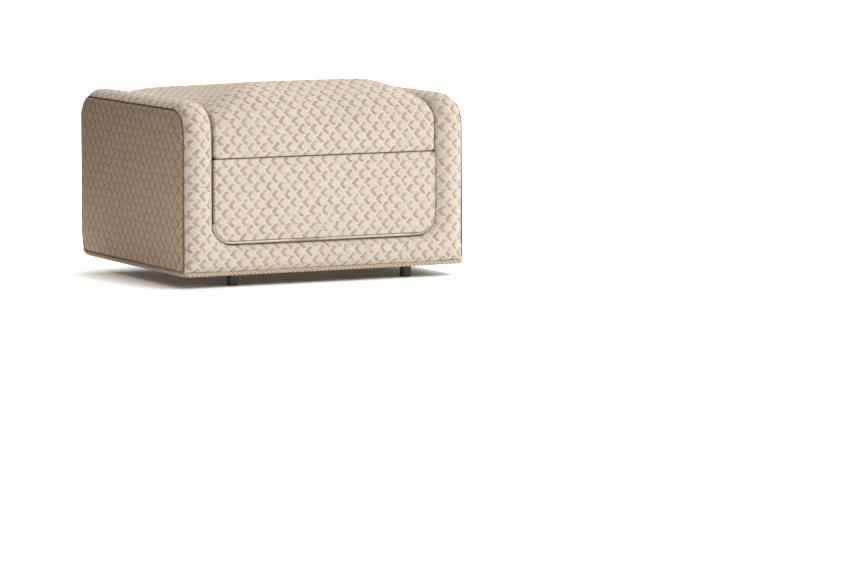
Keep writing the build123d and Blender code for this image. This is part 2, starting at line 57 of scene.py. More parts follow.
bpy.ops.object.camera_add(rotation=(math.pi / 2 - camera_pitch, 0, camera_turn))
camera = bpy.context.object
camera.name = "studio_camera"
view_line = camera.rotation_euler.to_matrix() @ Vector((0, 0, -1))
camera.location = camera_aim - camera_distance * view_line
camera.data.sensor_width = sensor_width
camera.data.lens = focal_pixels / picture_width * sensor_width
camera.data.clip_end = 200
bpy.context.scene.camera = camera
bpy.context.scene.view_settings.view_transform = "Standard"


# Studio: a pale floor, one broad light from the front on the right, and a soft room, brighter
# overhead and darker on its left, so that the left arm lies in its own shade.
def make_material(name):
    """An empty node material, its node tree and its shader."""
    material = bpy.data.materials.new(name)
    material.use_nodes = True
    return material, material.node_tree, material.node_tree.nodes["Principled BSDF"]


def maths(tree, operation, *terms, clamp=False):
    """A Math node on sockets or numbers; gives its output socket."""
    step = tree.nodes.new("ShaderNodeMath")
    step.operation = operation
    step.use_clamp = clamp
    for place, term in enumerate(terms):
        if isinstance(term, bpy.types.NodeSocket):
            tree.links.new(term, step.inputs[place])
        else:
            step.inputs[place].default_value = term
    return step.outputs[0]


def mixed(tree, share, first, second):
    """Two colours mixed by a share; gives the colour socket."""
    blend = tree.nodes.new("ShaderNodeMix")
    blend.data_type = "RGBA"
    for place, term in ((0, share), (6, first), (7, second)):
        if isinstance(term, bpy.types.NodeSocket):
            tree.links.new(term, blend.inputs[place])
        else:
            blend.inputs[place].default_value = term
    return blend.outputs[2]


def ramped(tree, value, low, high):
    """A value eased from 0 at low to 1 at high."""
    ease = tree.nodes.new("ShaderNodeMapRange")
    ease.interpolation_type = "SMOOTHSTEP"
    ease.inputs["From Min"].default_value = low
    ease.inputs["From Max"].default_value = high
    tree.links.new(value, ease.inputs["Value"])
    return ease.outputs[0]


def noise_of(tree, place, scale, detail=2.0, output="Fac"):
    """Noise of the given scale on a vector socket."""
    noise = tree.nodes.new("ShaderNodeTexNoise")
    noise.inputs["Scale"].default_value = scale
    noise.inputs["Detail"].default_value = detail
    tree.links.new(place, noise.inputs["Vector"])
    return noise.outputs[output]


def bumped(tree, height, distance, strength):
    """A Bump node on a height; gives the normal socket."""
    bump = tree.nodes.new("ShaderNodeBump")
    bump.inputs["Distance"].default_value = distance
    bump.inputs["Strength"].default_value = strength
    tree.links.new(height, bump.inputs["Height"])
    return bump.outputs[0]


# The floor beyond the picture's left edge is dark cloth. Inside the picture it glows, except for a
# painted shadow under and beside the block, where its glow falls off in a soft-edged patch.
floor_colour = (0.88, 0.88, 0.88, 1)
floor_cloth = (0.11, 0.075, 0.045, 1)
floor_glow = 0.82
glow_colour = (0.90, 0.96, 1.0, 1)
shade_glow = 0.02
view_edge = -camera_turn - picture_half_angle
edge_fade = (-0.25, -0.02)
shade_reach = 0.34
shade_middle = (-0.05, -0.12)
shade_half_size = (0.40, 0.24)
shade_depth_weight = 2.5
floor_size = 120
key_strength = 0.95
key_height = math.radians(46)
key_turn = math.radians(24)
key_softness = math.radians(34)
key_colour = (1.0, 0.975, 0.94)
room_right = (1.0, 0.99, 0.97, 1)
room_left = (0.09, 0.055, 0.025, 1)
room_low = 0.36
room_high = 3.0

bpy.ops.mesh.primitive_plane_add(size=floor_size)
floor = bpy.context.object
floor.name = "studio_floor"
floor_finish, floor_tree, shader = make_material("studio_floor")
floor_place = floor_tree.nodes.new("ShaderNodeTexCoord").outputs["Object"]
floor_axes = floor_tree.nodes.new("ShaderNodeSeparateXYZ")
floor_tree.links.new(floor_place, floor_axes.inputs[0])
edge_x = maths(floor_tree, "MULTIPLY", floor_axes.outputs["X"], math.cos(view_edge))
edge_y = maths(floor_tree, "MULTIPLY", floor_axes.outputs["Y"], -math.sin(view_edge))
edge_off = camera.location.x * math.cos(view_edge) - camera.location.y * math.sin(view_edge)
past_edge = maths(floor_tree, "SUBTRACT", maths(floor_tree, "ADD", edge_x, edge_y), edge_off)
lit = ramped(floor_tree, past_edge, *edge_fade)
beside = maths(floor_tree, "ADD", floor_axes.outputs["X"], -shade_middle[0])
beside = maths(floor_tree, "ABSOLUTE", beside)
beside = maths(floor_tree, "MAXIMUM", maths(floor_tree, "SUBTRACT", beside, shade_half_size[0]), 0)
before = maths(floor_tree, "ADD", floor_axes.outputs["Y"], -shade_middle[1])
before = maths(floor_tree, "ABSOLUTE", before)
before = maths(floor_tree, "MAXIMUM", maths(floor_tree, "SUBTRACT", before, shade_half_size[1]), 0)
squared = maths(
    floor_tree, "ADD",
    maths(floor_tree, "MULTIPLY", beside, beside),
    maths(floor_tree, "MULTIPLY", maths(floor_tree, "MULTIPLY", before, before), shade_depth_weight),
)
# clear is 0 in the painted shadow round the block and 1 from shade_reach outwards.
clear = ramped(floor_tree, maths(floor_tree, "SQRT", squared), 0.0, shade_reach)
floor_tree.links.new(mixed(floor_tree, lit, floor_cloth, floor_colour), shader.inputs["Base Color"])
shader.inputs["Roughness"].default_value = 0.9
shader.inputs["Emission Color"].default_value = glow_colour
glow = maths(floor_tree, "MULTIPLY_ADD", clear, floor_glow - shade_glow, shade_glow)
glow = maths(floor_tree, "MULTIPLY", lit, glow)
floor_tree.links.new(glow, shader.inputs["Emission Strength"])
floor.data.materials.append(floor_finish)

bpy.ops.object.light_add(type="SUN", rotation=(math.pi / 2 - key_height, 0, key_turn))
key_light = bpy.context.object
key_light.name = "key_light"
key_light.data.energy = key_strength
key_light.data.angle = key_softness
key_light.data.color = key_colour

room = bpy.data.worlds.new("studio_room")
bpy.context.scene.world = room
room.use_nodes = True
room_tree = room.node_tree
background = room_tree.nodes["Background"]
room_place = room_tree.nodes.new("ShaderNodeTexCoord")
room_axes = room_tree.nodes.new("ShaderNodeSeparateXYZ")
room_side = room_tree.nodes.new("ShaderNodeMapRange")
room_side.inputs["From Min"].default_value = -0.6
room_side.inputs["From Max"].default_value = 0.7
room_colour = room_tree.nodes.new("ShaderNodeMix")
room_colour.data_type = "RGBA"
room_colour.inputs[6].default_value = room_left
room_colour.inputs[7].default_value = room_right
room_tree.links.new(room_place.outputs["Generated"], room_axes.inputs[0])
room_tree.links.new(room_axes.outputs["X"], room_side.inputs["Value"])
room_tree.links.new(room_side.outputs[0], room_colour.inputs[0])
room_tree.links.new(room_colour.outputs[2], background.inputs["Color"])
overhead = ramped(room_tree, room_axes.outputs["Z"], 0.1, 0.9)
room_light = maths(room_tree, "MULTIPLY_ADD", overhead, room_high - room_low, room_low)
room_tree.links.new(room_light, background.inputs["Strength"])


# Cover fabric: a raised jacquard. Tan chevrons lie in rows, every second row half a step further,
# and a plump grey-cream shape fills the mouth of each.
chevron_pitch = 0.042
chevron_row = 0.0262
chevron_lean = 0.88
chevron_half_height = 0.0150
chevron_half_stroke = 0.0066
chevron_edge = 0.0015
stroke_feather = (0.0010, 0.0014)
fray = 0.004
# Painted highlight: a brighter cream band runs beside each chevron's stroke, along its raised edge.
shine_offset = 0.0105
shine_band = (0.0040, 0.0012)
shine_share = 0.6
plump_offset = 0.0150
plump_half_width = 0.0115
plump_half_height = 0.0130
plump_edge = (1.25, 0.15)
wander_reach = (0.011, 0.009)
kink_reach = 0.006
tan_patches = (0.35, 0.65)
worn_patches = (0.34, 0.46)
worn_colour_share = 0.42
whole_colour_share = 0.55
thread_scale = 260
thread_colour_share = 0.10
cream = (0.585, 0.52, 0.45, 1)
shine_cream = (0.675, 0.61, 0.535, 1)
plump_cream = (0.545, 0.51, 0.46, 1)
chevron_tan = (0.475, 0.36, 0.28, 1)
chevron_tan_dark = (0.40, 0.285, 0.205, 1)
# Painted shade: the outer side panels' colour is multiplied by this, darker and warmer than the rest
# of the cover.
side_painted_shade = (0.77, 0.64, 0.50, 1)
side_painted_shade_edge = (0.4725, 0.4765)
thread_shade = (0.30, 0.22, 0.15, 1)
relief_depth = 0.0022
plump_relief = 0.9
stroke_relief = -0.6
shine_relief = 0.5
thread_relief = 0.12
crease_relief = 2.0
mark_edge = (-0.6, -1.58)
mark_front_weight = 4.0
# Each sewn or pressed mark in the front: its middle in X and Z, half width, half height and depth.
front_marks = (
    (-0.028, 0.166, 0.020, 0.007, -3.0),
    (-0.030, 0.181, 0.015, 0.006, 2.2),
    (-0.412, 0.312, 0.020, 0.0022, -3.0),
    (0.132, 0.090, 0.0018, 0.024, -2.5),
)

cover_fabric, fabric, shader = make_material("cover_fabric")
weave = fabric.nodes.new("ShaderNodeUVMap")
weave.uv_map = "weave"
weave_axes = fabric.nodes.new("ShaderNodeSeparateXYZ")
fabric.links.new(weave.outputs[0], weave_axes.inputs[0])
body_place = fabric.nodes.new("ShaderNodeTexCoord").outputs["Object"]
wander = fabric.nodes.new("ShaderNodeSeparateColor")
fabric.links.new(noise_of(fabric, body_place, 14, 3, "Color"), wander.inputs[0])
ragged = noise_of(fabric, body_place, 260, 2)
kink = fabric.nodes.new("ShaderNodeSeparateColor")
fabric.links.new(noise_of(fabric, body_place, 62, 2, "Color"), kink.inputs[0])
across = maths(fabric, "MULTIPLY", wander.outputs[0], wander_reach[0])
across = maths(fabric, "ADD", weave_axes.outputs["X"], across)
across = maths(fabric, "ADD", across, maths(fabric, "MULTIPLY", kink.outputs[0], kink_reach))
up = maths(fabric, "MULTIPLY", wander.outputs[1], wander_reach[1])
up = maths(fabric, "ADD", weave_axes.outputs["Y"], up)
up = maths(fabric, "ADD", up, maths(fabric, "MULTIPLY", kink.outputs[1], kink_reach))
frayed = maths(fabric, "MULTIPLY", maths(fabric, "SUBTRACT", ragged, 0.5), fray)
strokes = None
plumps = None
shines = None
for shift in (0, 1):
    row_place = maths(fabric, "ADD", up, shift * chevron_row + 10 * chevron_row)
    rise = maths(fabric, "PINGPONG", row_place, chevron_row)
    lean = maths(fabric, "SUBTRACT", across, maths(fabric, "MULTIPLY", rise, chevron_lean))
    lean = maths(fabric, "ADD", lean, shift * chevron_pitch / 2)
    side = maths(fabric, "WRAP", lean, chevron_pitch / 2, -chevron_pitch / 2)
    off = maths(fabric, "ADD", maths(fabric, "ABSOLUTE", side), frayed)
    frayed_rise = maths(fabric, "ADD", rise, frayed)
    row_end = chevron_half_height + chevron_edge
    in_row = ramped(fabric, frayed_rise, row_end, row_end - 2 * chevron_edge)
    stroke_edge = (chevron_half_stroke + stroke_feather[0], chevron_half_stroke - stroke_feather[1])
    stroke = ramped(fabric, off, *stroke_edge)
    stroke = maths(fabric, "MULTIPLY", stroke, in_row)
    # The painted highlight band, just left of the stroke.
    beside_stroke = maths(fabric, "ABSOLUTE", maths(fabric, "ADD", side, shine_offset))
    shine = maths(fabric, "MULTIPLY", ramped(fabric, beside_stroke, *shine_band), in_row)
    mouth = maths(fabric, "SUBTRACT", side, plump_offset)
    round_mouth = maths(
        fabric, "ADD",
        maths(fabric, "POWER", maths(fabric, "DIVIDE", mouth, plump_half_width), 2),
        maths(fabric, "POWER", maths(fabric, "DIVIDE", rise, plump_half_height), 2),
    )
    plump = ramped(fabric, round_mouth, *plump_edge)
    strokes = stroke if strokes is None else maths(fabric, "MAXIMUM", strokes, stroke)
    plumps = plump if plumps is None else maths(fabric, "MAXIMUM", plumps, plump)
    shines = shine if shines is None else maths(fabric, "MAXIMUM", shines, shine)
tone = noise_of(fabric, body_place, 38, 2)
tan = mixed(fabric, ramped(fabric, tone, *tan_patches), chevron_tan, chevron_tan_dark)
ground = mixed(fabric, plumps, cream, plump_cream)
ground = mixed(fabric, maths(fabric, "MULTIPLY", shines, shine_share), ground, shine_cream)
worn = ramped(fabric, noise_of(fabric, body_place, 55, 1), *worn_patches)
shown = maths(fabric, "MULTIPLY_ADD", worn, whole_colour_share, worn_colour_share)
shown = maths(fabric, "MULTIPLY", strokes, shown)
colour = mixed(fabric, shown, ground, tan)
body_axes = fabric.nodes.new("ShaderNodeSeparateXYZ")
fabric.links.new(body_place, body_axes.inputs[0])
# Painted shade on the outer side panels: past the piping, the cover's colour is made darker and
# warmer.
in_painted_side_shade = ramped(fabric, maths(fabric, "ABSOLUTE", body_axes.outputs["X"]), *side_painted_shade_edge)
side_shade_mixer = fabric.nodes.new("ShaderNodeMix")
side_shade_mixer.data_type = "RGBA"
side_shade_mixer.blend_type = "MULTIPLY"
side_shade_mixer.inputs[7].default_value = side_painted_shade
fabric.links.new(in_painted_side_shade, side_shade_mixer.inputs[0])
fabric.links.new(colour, side_shade_mixer.inputs[6])
colour = side_shade_mixer.outputs[2]
thread = fabric.nodes.new("ShaderNodeTexWave")
thread.inputs["Scale"].default_value = thread_scale
thread.inputs["Distortion"].default_value = 2.5
thread.inputs["Detail"].default_value = 2
thread.bands_direction = "DIAGONAL"
fabric.links.new(weave.outputs[0], thread.inputs["Vector"])
threads = maths(fabric, "MULTIPLY", thread.outputs["Fac"], thread_colour_share)
colour = mixed(fabric, threads, colour, thread_shade)
fabric.links.new(colour, shader.inputs["Base Color"])
relief = maths(fabric, "MULTIPLY", plumps, plump_relief)
crease = noise_of(fabric, body_place, 22, 3)
for height, share in (
    (strokes, stroke_relief), (shines, shine_relief),
    (thread.outputs["Fac"], thread_relief), (crease, crease_relief),
):
    relief = maths(fabric, "ADD", relief, maths(fabric, "MULTIPLY", height, share))
for x, z, wide, high, depth in front_marks:
    off_x = maths(fabric, "DIVIDE", maths(fabric, "SUBTRACT", body_axes.outputs["X"], x), wide)
    off_z = maths(fabric, "DIVIDE", maths(fabric, "SUBTRACT", body_axes.outputs["Z"], z), high)
    spot = maths(fabric, "ADD", maths(fabric, "POWER", off_x, 2), maths(fabric, "POWER", off_z, 2))
    to_front = maths(fabric, "MULTIPLY", body_axes.outputs["Y"], mark_front_weight)
    spot = maths(fabric, "ADD", spot, to_front)
    spot = ramped(fabric, spot, *mark_edge)
    relief = maths(fabric, "ADD", relief, maths(fabric, "MULTIPLY", spot, depth))
fabric.links.new(bumped(fabric, relief, relief_depth, 0.8), shader.inputs["Normal"])
shader.inputs["Roughness"].default_value = 0.86
shader.inputs["Sheen Weight"].default_value = 0.25
shader.inputs["Sheen Roughness"].default_value = 0.5
shader.inputs["Specular IOR Level"].default_value = 0.25


# Arms and front rail: slabs of foam over the boards, in one cover that runs round the front as a
# border. The side panels are sewn in with a thin piping, and the cover is drawn down at its seams.
half_width = 0.480
inner_width = 0.380
half_depth = 0.410
top_height = 0.560
hem_height = 0.040
top_radius = 0.090
rear_foot_radius = 0.070
front_foot_radius = 0.018
rail_back = -0.392
rail_top = 0.134
border_radius = 0.060
arm_voxel = 0.009
arm_puff = 0.006
border_crown = 0.010
border_edge_drop = 0.016
piping_drop = 0.014
hem_drop = 0.002
hem_blend = 0.04
crown_zone = (-0.016, -0.004)
rail_overlap = 0.006
sideways_share = 0.74
weave_start = 0.5
weave_shift = {"panel": 0.013, "front": 0.007, "seat": (0.003, 0.511)}
seam_reach = 0.009
seam_catch = 0.004
hem_play = 0.002
rail_play = 0.002
near_top = 0.5
near_hem = 0.05
near_end = 0.4
opening_depth = (-0.5, -0.3)
opening_top = 0.4
strip_turn_share = 0.7
strip_turn_top = 0.06
front_zone = -0.385
board_front = -0.391
gap_play = 0.0004
wadding_frames = 14
wadding_quality = 4
wadding_pressure = 4.0


def activate(piece):
    bpy.ops.object.select_all(action="DESELECT")
    piece.select_set(True)
    bpy.context.view_layer.objects.active = piece


def apply_modifier(piece, kind, **settings):
    """Adds one modifier to a piece and applies it."""
    modifier = piece.modifiers.new(kind.lower(), kind)
    for name, value in settings.items():
        setattr(modifier, name, value)
    activate(piece)
    bpy.ops.object.modifier_apply(modifier=modifier.name)


def block(name, low, high):
    """A block between two corners, with its place in its mesh."""
    middle = [(a + b) / 2 for a, b in zip(low, high)]
    bpy.ops.mesh.primitive_cube_add(size=1, location=middle)
    piece = bpy.context.object
    piece.name = name
    piece.scale = [b - a for a, b in zip(low, high)]
    bpy.ops.object.transform_apply(location=True, rotation=True, scale=True)
    return piece


def round_edges(piece, radius, chosen, segments=12, across=True):
    """Bevels the edges whose two ends both satisfy chosen; without across, none that run in X."""
    activate(piece)
    bpy.ops.object.mode_set(mode="EDIT")
    bpy.ops.mesh.select_mode(type="EDGE")
    bpy.ops.mesh.select_all(action="DESELECT")
    bpy.ops.object.mode_set(mode="OBJECT")
    for edge in piece.data.edges:
        ends = [piece.data.vertices[v].co for v in edge.vertices]
        edge.select = all(chosen(p) for p in ends) and (across or abs(ends[0].x - ends[1].x) < 1e-6)
    bpy.ops.object.mode_set(mode="EDIT")
    bpy.ops.mesh.bevel(offset=radius, segments=segments, affect="EDGES", offset_type="OFFSET")
    bpy.ops.object.mode_set(mode="OBJECT")


def joined(pieces, name):
    bpy.ops.object.select_all(action="DESELECT")
    for piece in pieces:
        piece.select_set(True)
    bpy.context.view_layer.objects.active = pieces[0]
    bpy.ops.object.join()
    pieces[0].name = name
    pieces[0].data.name = name
    return pieces[0]


def points_of(mesh):
    places = np.zeros(len(mesh.vertices) * 3)
    mesh.vertices.foreach_get("co", places)
    return places.reshape(-1, 3)


def put_points(mesh, places):
    mesh.vertices.foreach_set("co", places.astype(np.float32).ravel())
    mesh.update()


def puff_up(piece, voxel, reach, held, kept, shaped=None, softened=6):
    """Evens out the mesh, lets wadding push the cover out between its held seams, by reach at most,
    and keeps the result inside the room that its neighbours leave."""
    apply_modifier(piece, "REMESH", mode="VOXEL", voxel_size=voxel, use_smooth_shade=True)
    apply_modifier(piece, "SMOOTH", factor=0.5, iterations=softened)
    start = points_of(piece.data)
    sewn = np.flatnonzero(held(start)).tolist()
    if shaped is not None:
        start = shaped(start)
        put_points(piece.data, start)
    ended = start
    seams = piece.vertex_groups.new(name="seams")
    seams.add(sewn, 1.0, "REPLACE")
    cloth = piece.modifiers.new("wadding", "CLOTH")
    cloth.settings.quality = wadding_quality
    cloth.settings.use_pressure = True
    cloth.settings.uniform_pressure_force = wadding_pressure
    cloth.settings.vertex_group_mass = "seams"
    cloth.settings.effector_weights.gravity = 0
    cloth.collision_settings.use_collision = False
    cloth.point_cache.frame_start = 1
    cloth.point_cache.frame_end = wadding_frames
    for step in range(wadding_frames):
        bpy.context.scene.frame_set(step + 1)
    blown = piece.evaluated_get(bpy.context.evaluated_depsgraph_get())
    moved = points_of(blown.data) - start
    length = np.linalg.norm(moved, axis=1, keepdims=True)
    moved = moved * (reach * np.tanh(length / reach) / np.maximum(length, 1e-9))
    ended = start + moved
    piece.modifiers.remove(cloth)
    bpy.context.scene.frame_set(1)
    piece.vertex_groups.clear()
    put_points(piece.data, kept(ended))
    apply_modifier(piece, "SUBSURF", levels=1, render_levels=1)
    put_points(piece.data, kept(points_of(piece.data)))
    bpy.ops.object.shade_smooth()


def side_line(inset=0.0, steps=10, closed=True):
    """The block's outline seen from the side as (y, z) points, from the front foot up and round."""
    corners = [
        (-half_depth, hem_height, front_foot_radius, 180, 270),
        (half_depth, hem_height, rear_foot_radius, 270, 360),
        (half_depth, top_height, top_radius, 0, 90),
        (-half_depth, top_height, top_radius, 90, 180),
    ]
    line = []
    for y, z, radius, start, end in reversed(corners):
        y_middle = y + (radius if y < 0 else -radius)
        z_middle = z + (radius if z < 0.2 else -radius)
        for step in range(steps + 1):
            turn = math.radians(end + (start - end) * step / steps)
            away = radius - inset
            line.append((y_middle + away * math.cos(turn), z_middle + away * math.sin(turn)))
    start_at = 4 * (steps + 1) - 1
    line = line[start_at:] + line[:start_at]
    return line + [line[0]] if closed else line


def along(places, line):
    """How far along a line of points each place lies, and how far off it."""
    best = np.full(len(places), 1e9)
    run = np.zeros(len(places))
    travelled = 0.0
    for first, second in zip(line[:-1], line[1:]):
        first = np.array(first)
        step = np.array(second) - first
        length = np.linalg.norm(step)
        if length < 1e-9:
            continue
        share = np.clip((places - first) @ step / length ** 2, 0, 1)
        off = np.linalg.norm(places - first - share[:, None] * step, axis=1)
        nearer = off < best
        best[nearer] = off[nearer]
        run[nearer] = travelled + share[nearer] * length
        travelled += length
    return run, best


def lay_weave(piece, placed):
    """Gives each corner of the mesh its place on the fabric, from its place and its face's normal."""
    mesh = piece.data
    corner_points = np.zeros(len(mesh.loops), np.int32)
    mesh.loops.foreach_get("vertex_index", corner_points)
    normals = np.zeros(len(mesh.polygons) * 3)
    mesh.polygons.foreach_get("normal", normals)
    counts = np.zeros(len(mesh.polygons), np.int32)
    mesh.polygons.foreach_get("loop_total", counts)
    normals = np.repeat(normals.reshape(-1, 3), counts, axis=0)
    places = points_of(mesh)[corner_points]
    layer = mesh.uv_layers.new(name="weave")
    layer.data.foreach_set("uv", placed(places, normals).astype(np.float32).ravel())


def covered(piece, fabric, body, slot, fill, *replaced):
    """Finish and book-keeping of one padded piece."""
    piece.data.materials.clear()
    piece.data.materials.append(fabric)
    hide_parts(*replaced)
    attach(piece, body)


arm_pieces = []
for side in (-1, 1):
    inner, outer = sorted((side * inner_width, side * half_width))
    arm = block("arm", (inner, -half_depth, hem_height), (outer, half_depth, top_height))
    round_edges(arm, top_radius, lambda p: p.z > near_top and p.y > 0)
    round_edges(arm, top_radius, lambda p: p.z > near_top and p.y < -near_end)
    round_edges(arm, rear_foot_radius, lambda p: p.z < near_hem and p.y > 0)
    round_edges(arm, front_foot_radius, lambda p: p.z < near_hem and p.y < 0, 4)
    arm_pieces.append(arm)
rail_reach = inner_width + rail_overlap
rail_low = (-rail_reach, -half_depth, hem_height)
rail = block("rail", rail_low, (rail_reach, rail_back, rail_top + border_radius))
opening_low = (-inner_width, opening_depth[0], rail_top)
opening = block("opening", opening_low, (inner_width, opening_depth[1], opening_top))
round_edges(opening, border_radius, lambda p: p.z < 0.2 and abs(p.x) > 0.3, 16, False)
apply_modifier(rail, "BOOLEAN", operation="DIFFERENCE", object=opening, solver="EXACT")
bpy.data.objects.remove(opening)
arms_and_rail = joined([*arm_pieces, rail], "arms_and_rail_cover")
strip_line = side_line()


def arm_seams(places):
    """Points by the side panel's piping, by the gap beside the seat and along the hem."""
    off_side = np.abs(np.abs(places[:, 0]) - half_width)
    _, off_line = along(places[:, 1:], strip_line)
    piping = (off_side < seam_reach) & (off_line < seam_reach)
    inside = np.abs(places[:, 0]) < rail_reach
    front = places[:, 1] < front_zone
    on_rail = inside & front & (places[:, 2] < rail_top + border_radius)
    deep = on_rail & (places[:, 1] > rail_back - seam_catch)
    inner_face = (np.abs(places[:, 0]) < inner_width + seam_catch) & ~on_rail
    hem = places[:, 2] < hem_height + seam_catch
    return piping | inner_face | hem | deep


def arm_room(places):
    """Keeps the inner faces clear of the seat and the rail clear of its board."""
    kept = places.copy()
    side = np.sign(kept[:, 0])
    behind = kept[:, 1] > board_front
    upper = kept[:, 2] > rail_top + border_radius + rail_play
    for zone in (behind, upper):
        kept[zone, 0] = side[zone] * np.maximum(np.abs(kept[zone, 0]), inner_width - gap_play)
    kept[:, 2] = np.maximum(kept[:, 2], hem_height - hem_play)
    return kept


def eased(value, low, high):
    share = np.clip((value - low) / (high - low), 0, 1)
    return share * share * (3 - 2 * share)


def arm_crown(places):
    """Makes the border full along its middle and lower at the piping and at the hem."""
    x, y, z = np.abs(places[:, 0]), places[:, 1], places[:, 2]
    past_y = np.maximum(np.abs(y) - half_depth + top_radius, 0)
    middle = (top_height + hem_height) / 2
    past_z = np.maximum(np.abs(z - middle) - (top_height - middle) + top_radius, 0)
    length = np.maximum(np.hypot(past_y, past_z), 1e-9)
    near = eased(length - top_radius, *crown_zone)
    from_x = np.maximum(x - inner_width + border_radius, 0)
    from_z = np.maximum(rail_top + border_radius - z, 0)
    from_opening = np.maximum(np.hypot(from_x, from_z) - border_radius, 0)
    to_side = np.maximum(half_width - x, 0)
    to_hem = np.maximum(z - hem_height, 0)
    to_edge = np.minimum(to_side, to_hem)
    place = (from_opening - to_edge) / np.maximum(from_opening + to_edge, 1e-6)
    drop = hem_drop + (piping_drop - hem_drop) * eased(to_hem - to_side, 0, hem_blend)
    height = border_crown - border_edge_drop * place ** 2 - drop * np.maximum(place, 0) ** 3
    moved = places.copy()
    moved[:, 1] += near * height * np.sign(y) * past_y / length
    moved[:, 2] += near * height * np.sign(z - middle) * past_z / length * (z > middle)
    return moved


puff_up(arms_and_rail, arm_voxel, arm_puff, arm_seams, arm_room, arm_crown, softened=8)


def arm_weave(places, normals):
    """Side panels lie flat with the chevrons towards the front; the border runs round the side."""
    run, _ = along(places[:, 1:], strip_line)
    total = sum(math.dist(a, b) for a, b in zip(strip_line[:-1], strip_line[1:]))
    turned = (run > strip_turn_share * total) & (places[:, 2] < strip_turn_top)
    run = np.where(turned, run - total, run)
    strip = np.stack([places[:, 0], run + weave_start], 1)
    panel = np.stack([places[:, 1] + weave_shift["panel"], places[:, 2] + weave_start], 1)
    sideways = (np.abs(normals[:, 0]) > sideways_share)[:, None]
    return np.where(sideways, panel, strip)


lay_weave(arms_and_rail, arm_weave)
covered(
    arms_and_rail, cover_fabric, "casing", "cover_fabric", 0.85,
    "left_arm_padding", "right_arm_padding", "rail_padding",
)


# Back: a padded board that stands between the arms, in the same cover, with the side outline of the
# block. Its cover is tucked in along both arms and at its front face.
back_front = 0.350
back_puff = 0.009
back_voxel = 0.012
back_play = 0.0005
back_hem_play = 0.001
back_side_seam = 0.006
back_front_seam = 0.003
back_rounding_shares = (0.6, 0.8)
back_half_width = inner_width - back_play

back_low = (-back_half_width, back_front, hem_height)
back = block("back_cover", back_low, (back_half_width, half_depth, top_height))
top_rounding, foot_rounding = back_rounding_shares
round_edges(back, top_radius * top_rounding, lambda p: p.z > near_top and p.y > near_end)
round_edges(back, rear_foot_radius * foot_rounding, lambda p: p.z < near_hem and p.y > near_end)


def back_seams(places):
    side = np.abs(places[:, 0]) > inner_width - back_side_seam
    return side | (places[:, 1] < back_front + back_front_seam)


def back_room(places):
    kept = places.copy()
    kept[:, 0] = np.clip(kept[:, 0], -back_half_width, back_half_width)
    kept[:, 1] = np.maximum(kept[:, 1], back_front)
    kept[:, 2] = np.maximum(kept[:, 2], hem_height - back_hem_play)
    return kept


puff_up(back, back_voxel, back_puff, back_seams, back_room)


def back_weave(places, normals):
    run, _ = along(places[:, 1:], strip_line)
    return np.stack([places[:, 0], run + weave_start], 1)


lay_weave(back, back_weave)
covered(back, cover_fabric, "casing", "cover_fabric", 0.8, "back_padding")


# Flap: the middle of the front, a padded board in the same cover that drops forwards about its lower
# edge, where it hangs on a long hinge. Its lower corners are round.
flap_half_width = 0.377
flap_bottom = 0.140
flap_top = 0.3938
flap_back = -0.386
flap_radius = 0.057
flap_bulge = 0.010
flap_voxel = 0.0065
flap_seam = 0.006
flap_head_seam = 0.005
flap_side_play = 0.001
flap_foot_play = 0.0005

flap_low = (-flap_half_width, -half_depth, flap_bottom)
flap = block("flap_cover", flap_low, (flap_half_width, flap_back, flap_top))
round_edges(flap, flap_radius, lambda p: p.z < 0.15 and abs(p.x) > 0.37, 16, False)


def flap_seams(places):
    side = np.abs(places[:, 0]) > flap_half_width - flap_seam
    foot = places[:, 2] < flap_bottom + flap_seam
    head = places[:, 2] > flap_top - flap_head_seam
    corner_x = np.abs(places[:, 0]) - (flap_half_width - flap_radius)
    corner_z = flap_bottom + flap_radius - places[:, 2]
    corner = (corner_x > 0) & (corner_z > 0)
    corner = corner & (np.hypot(corner_x, corner_z) > flap_radius - flap_seam)
    return side | foot | head | corner | (places[:, 1] > flap_back - seam_catch)


def flap_room(places):
    kept = places.copy()
    reach = flap_half_width + flap_side_play
    kept[:, 0] = np.clip(kept[:, 0], -reach, reach)
    kept[:, 1] = np.minimum(kept[:, 1], flap_back)
    kept[:, 2] = np.clip(kept[:, 2], flap_bottom - flap_foot_play, flap_top)
    return kept


puff_up(flap, flap_voxel, flap_bulge, flap_seams, flap_room, softened=3)


def front_weave(places, normals):
    return np.stack([places[:, 0] + weave_shift["front"], places[:, 2] + weave_start], 1)


lay_weave(flap, front_weave)
covered(flap, cover_fabric, "flap", "cover_fabric", 0.7, "flap_padding")


# Seat: the cushion of the top section and the band that hangs from its front edge, in one cover.
# Its crest stands over the arms behind a deep round nose and falls to both ends and to the back.
seat_half_width = 0.377
seat_rear = 0.334
seat_bottom = 0.471
seat_crest = 0.612
seat_rear_top = 0.560
seat_end_width = 0.160
seat_end_top = 0.556
seat_end_roll = 0.020
seat_end_fall = 0.011
seat_end_power = 1.4
seat_nose_depth = 0.120
seat_nose_low = 0.490
band_bottom = 0.3942
band_back = -0.386
seat_bulge = 0.009
seat_voxel = 0.007
slab_voxel = 0.009
band_overlap = 0.014
seat_side_seam = 0.005
seat_under_seam = 0.006
seat_rear_seam = 0.006
seat_rear_free = 0.03
seat_play = 0.001
band_foot_play = 0.0005

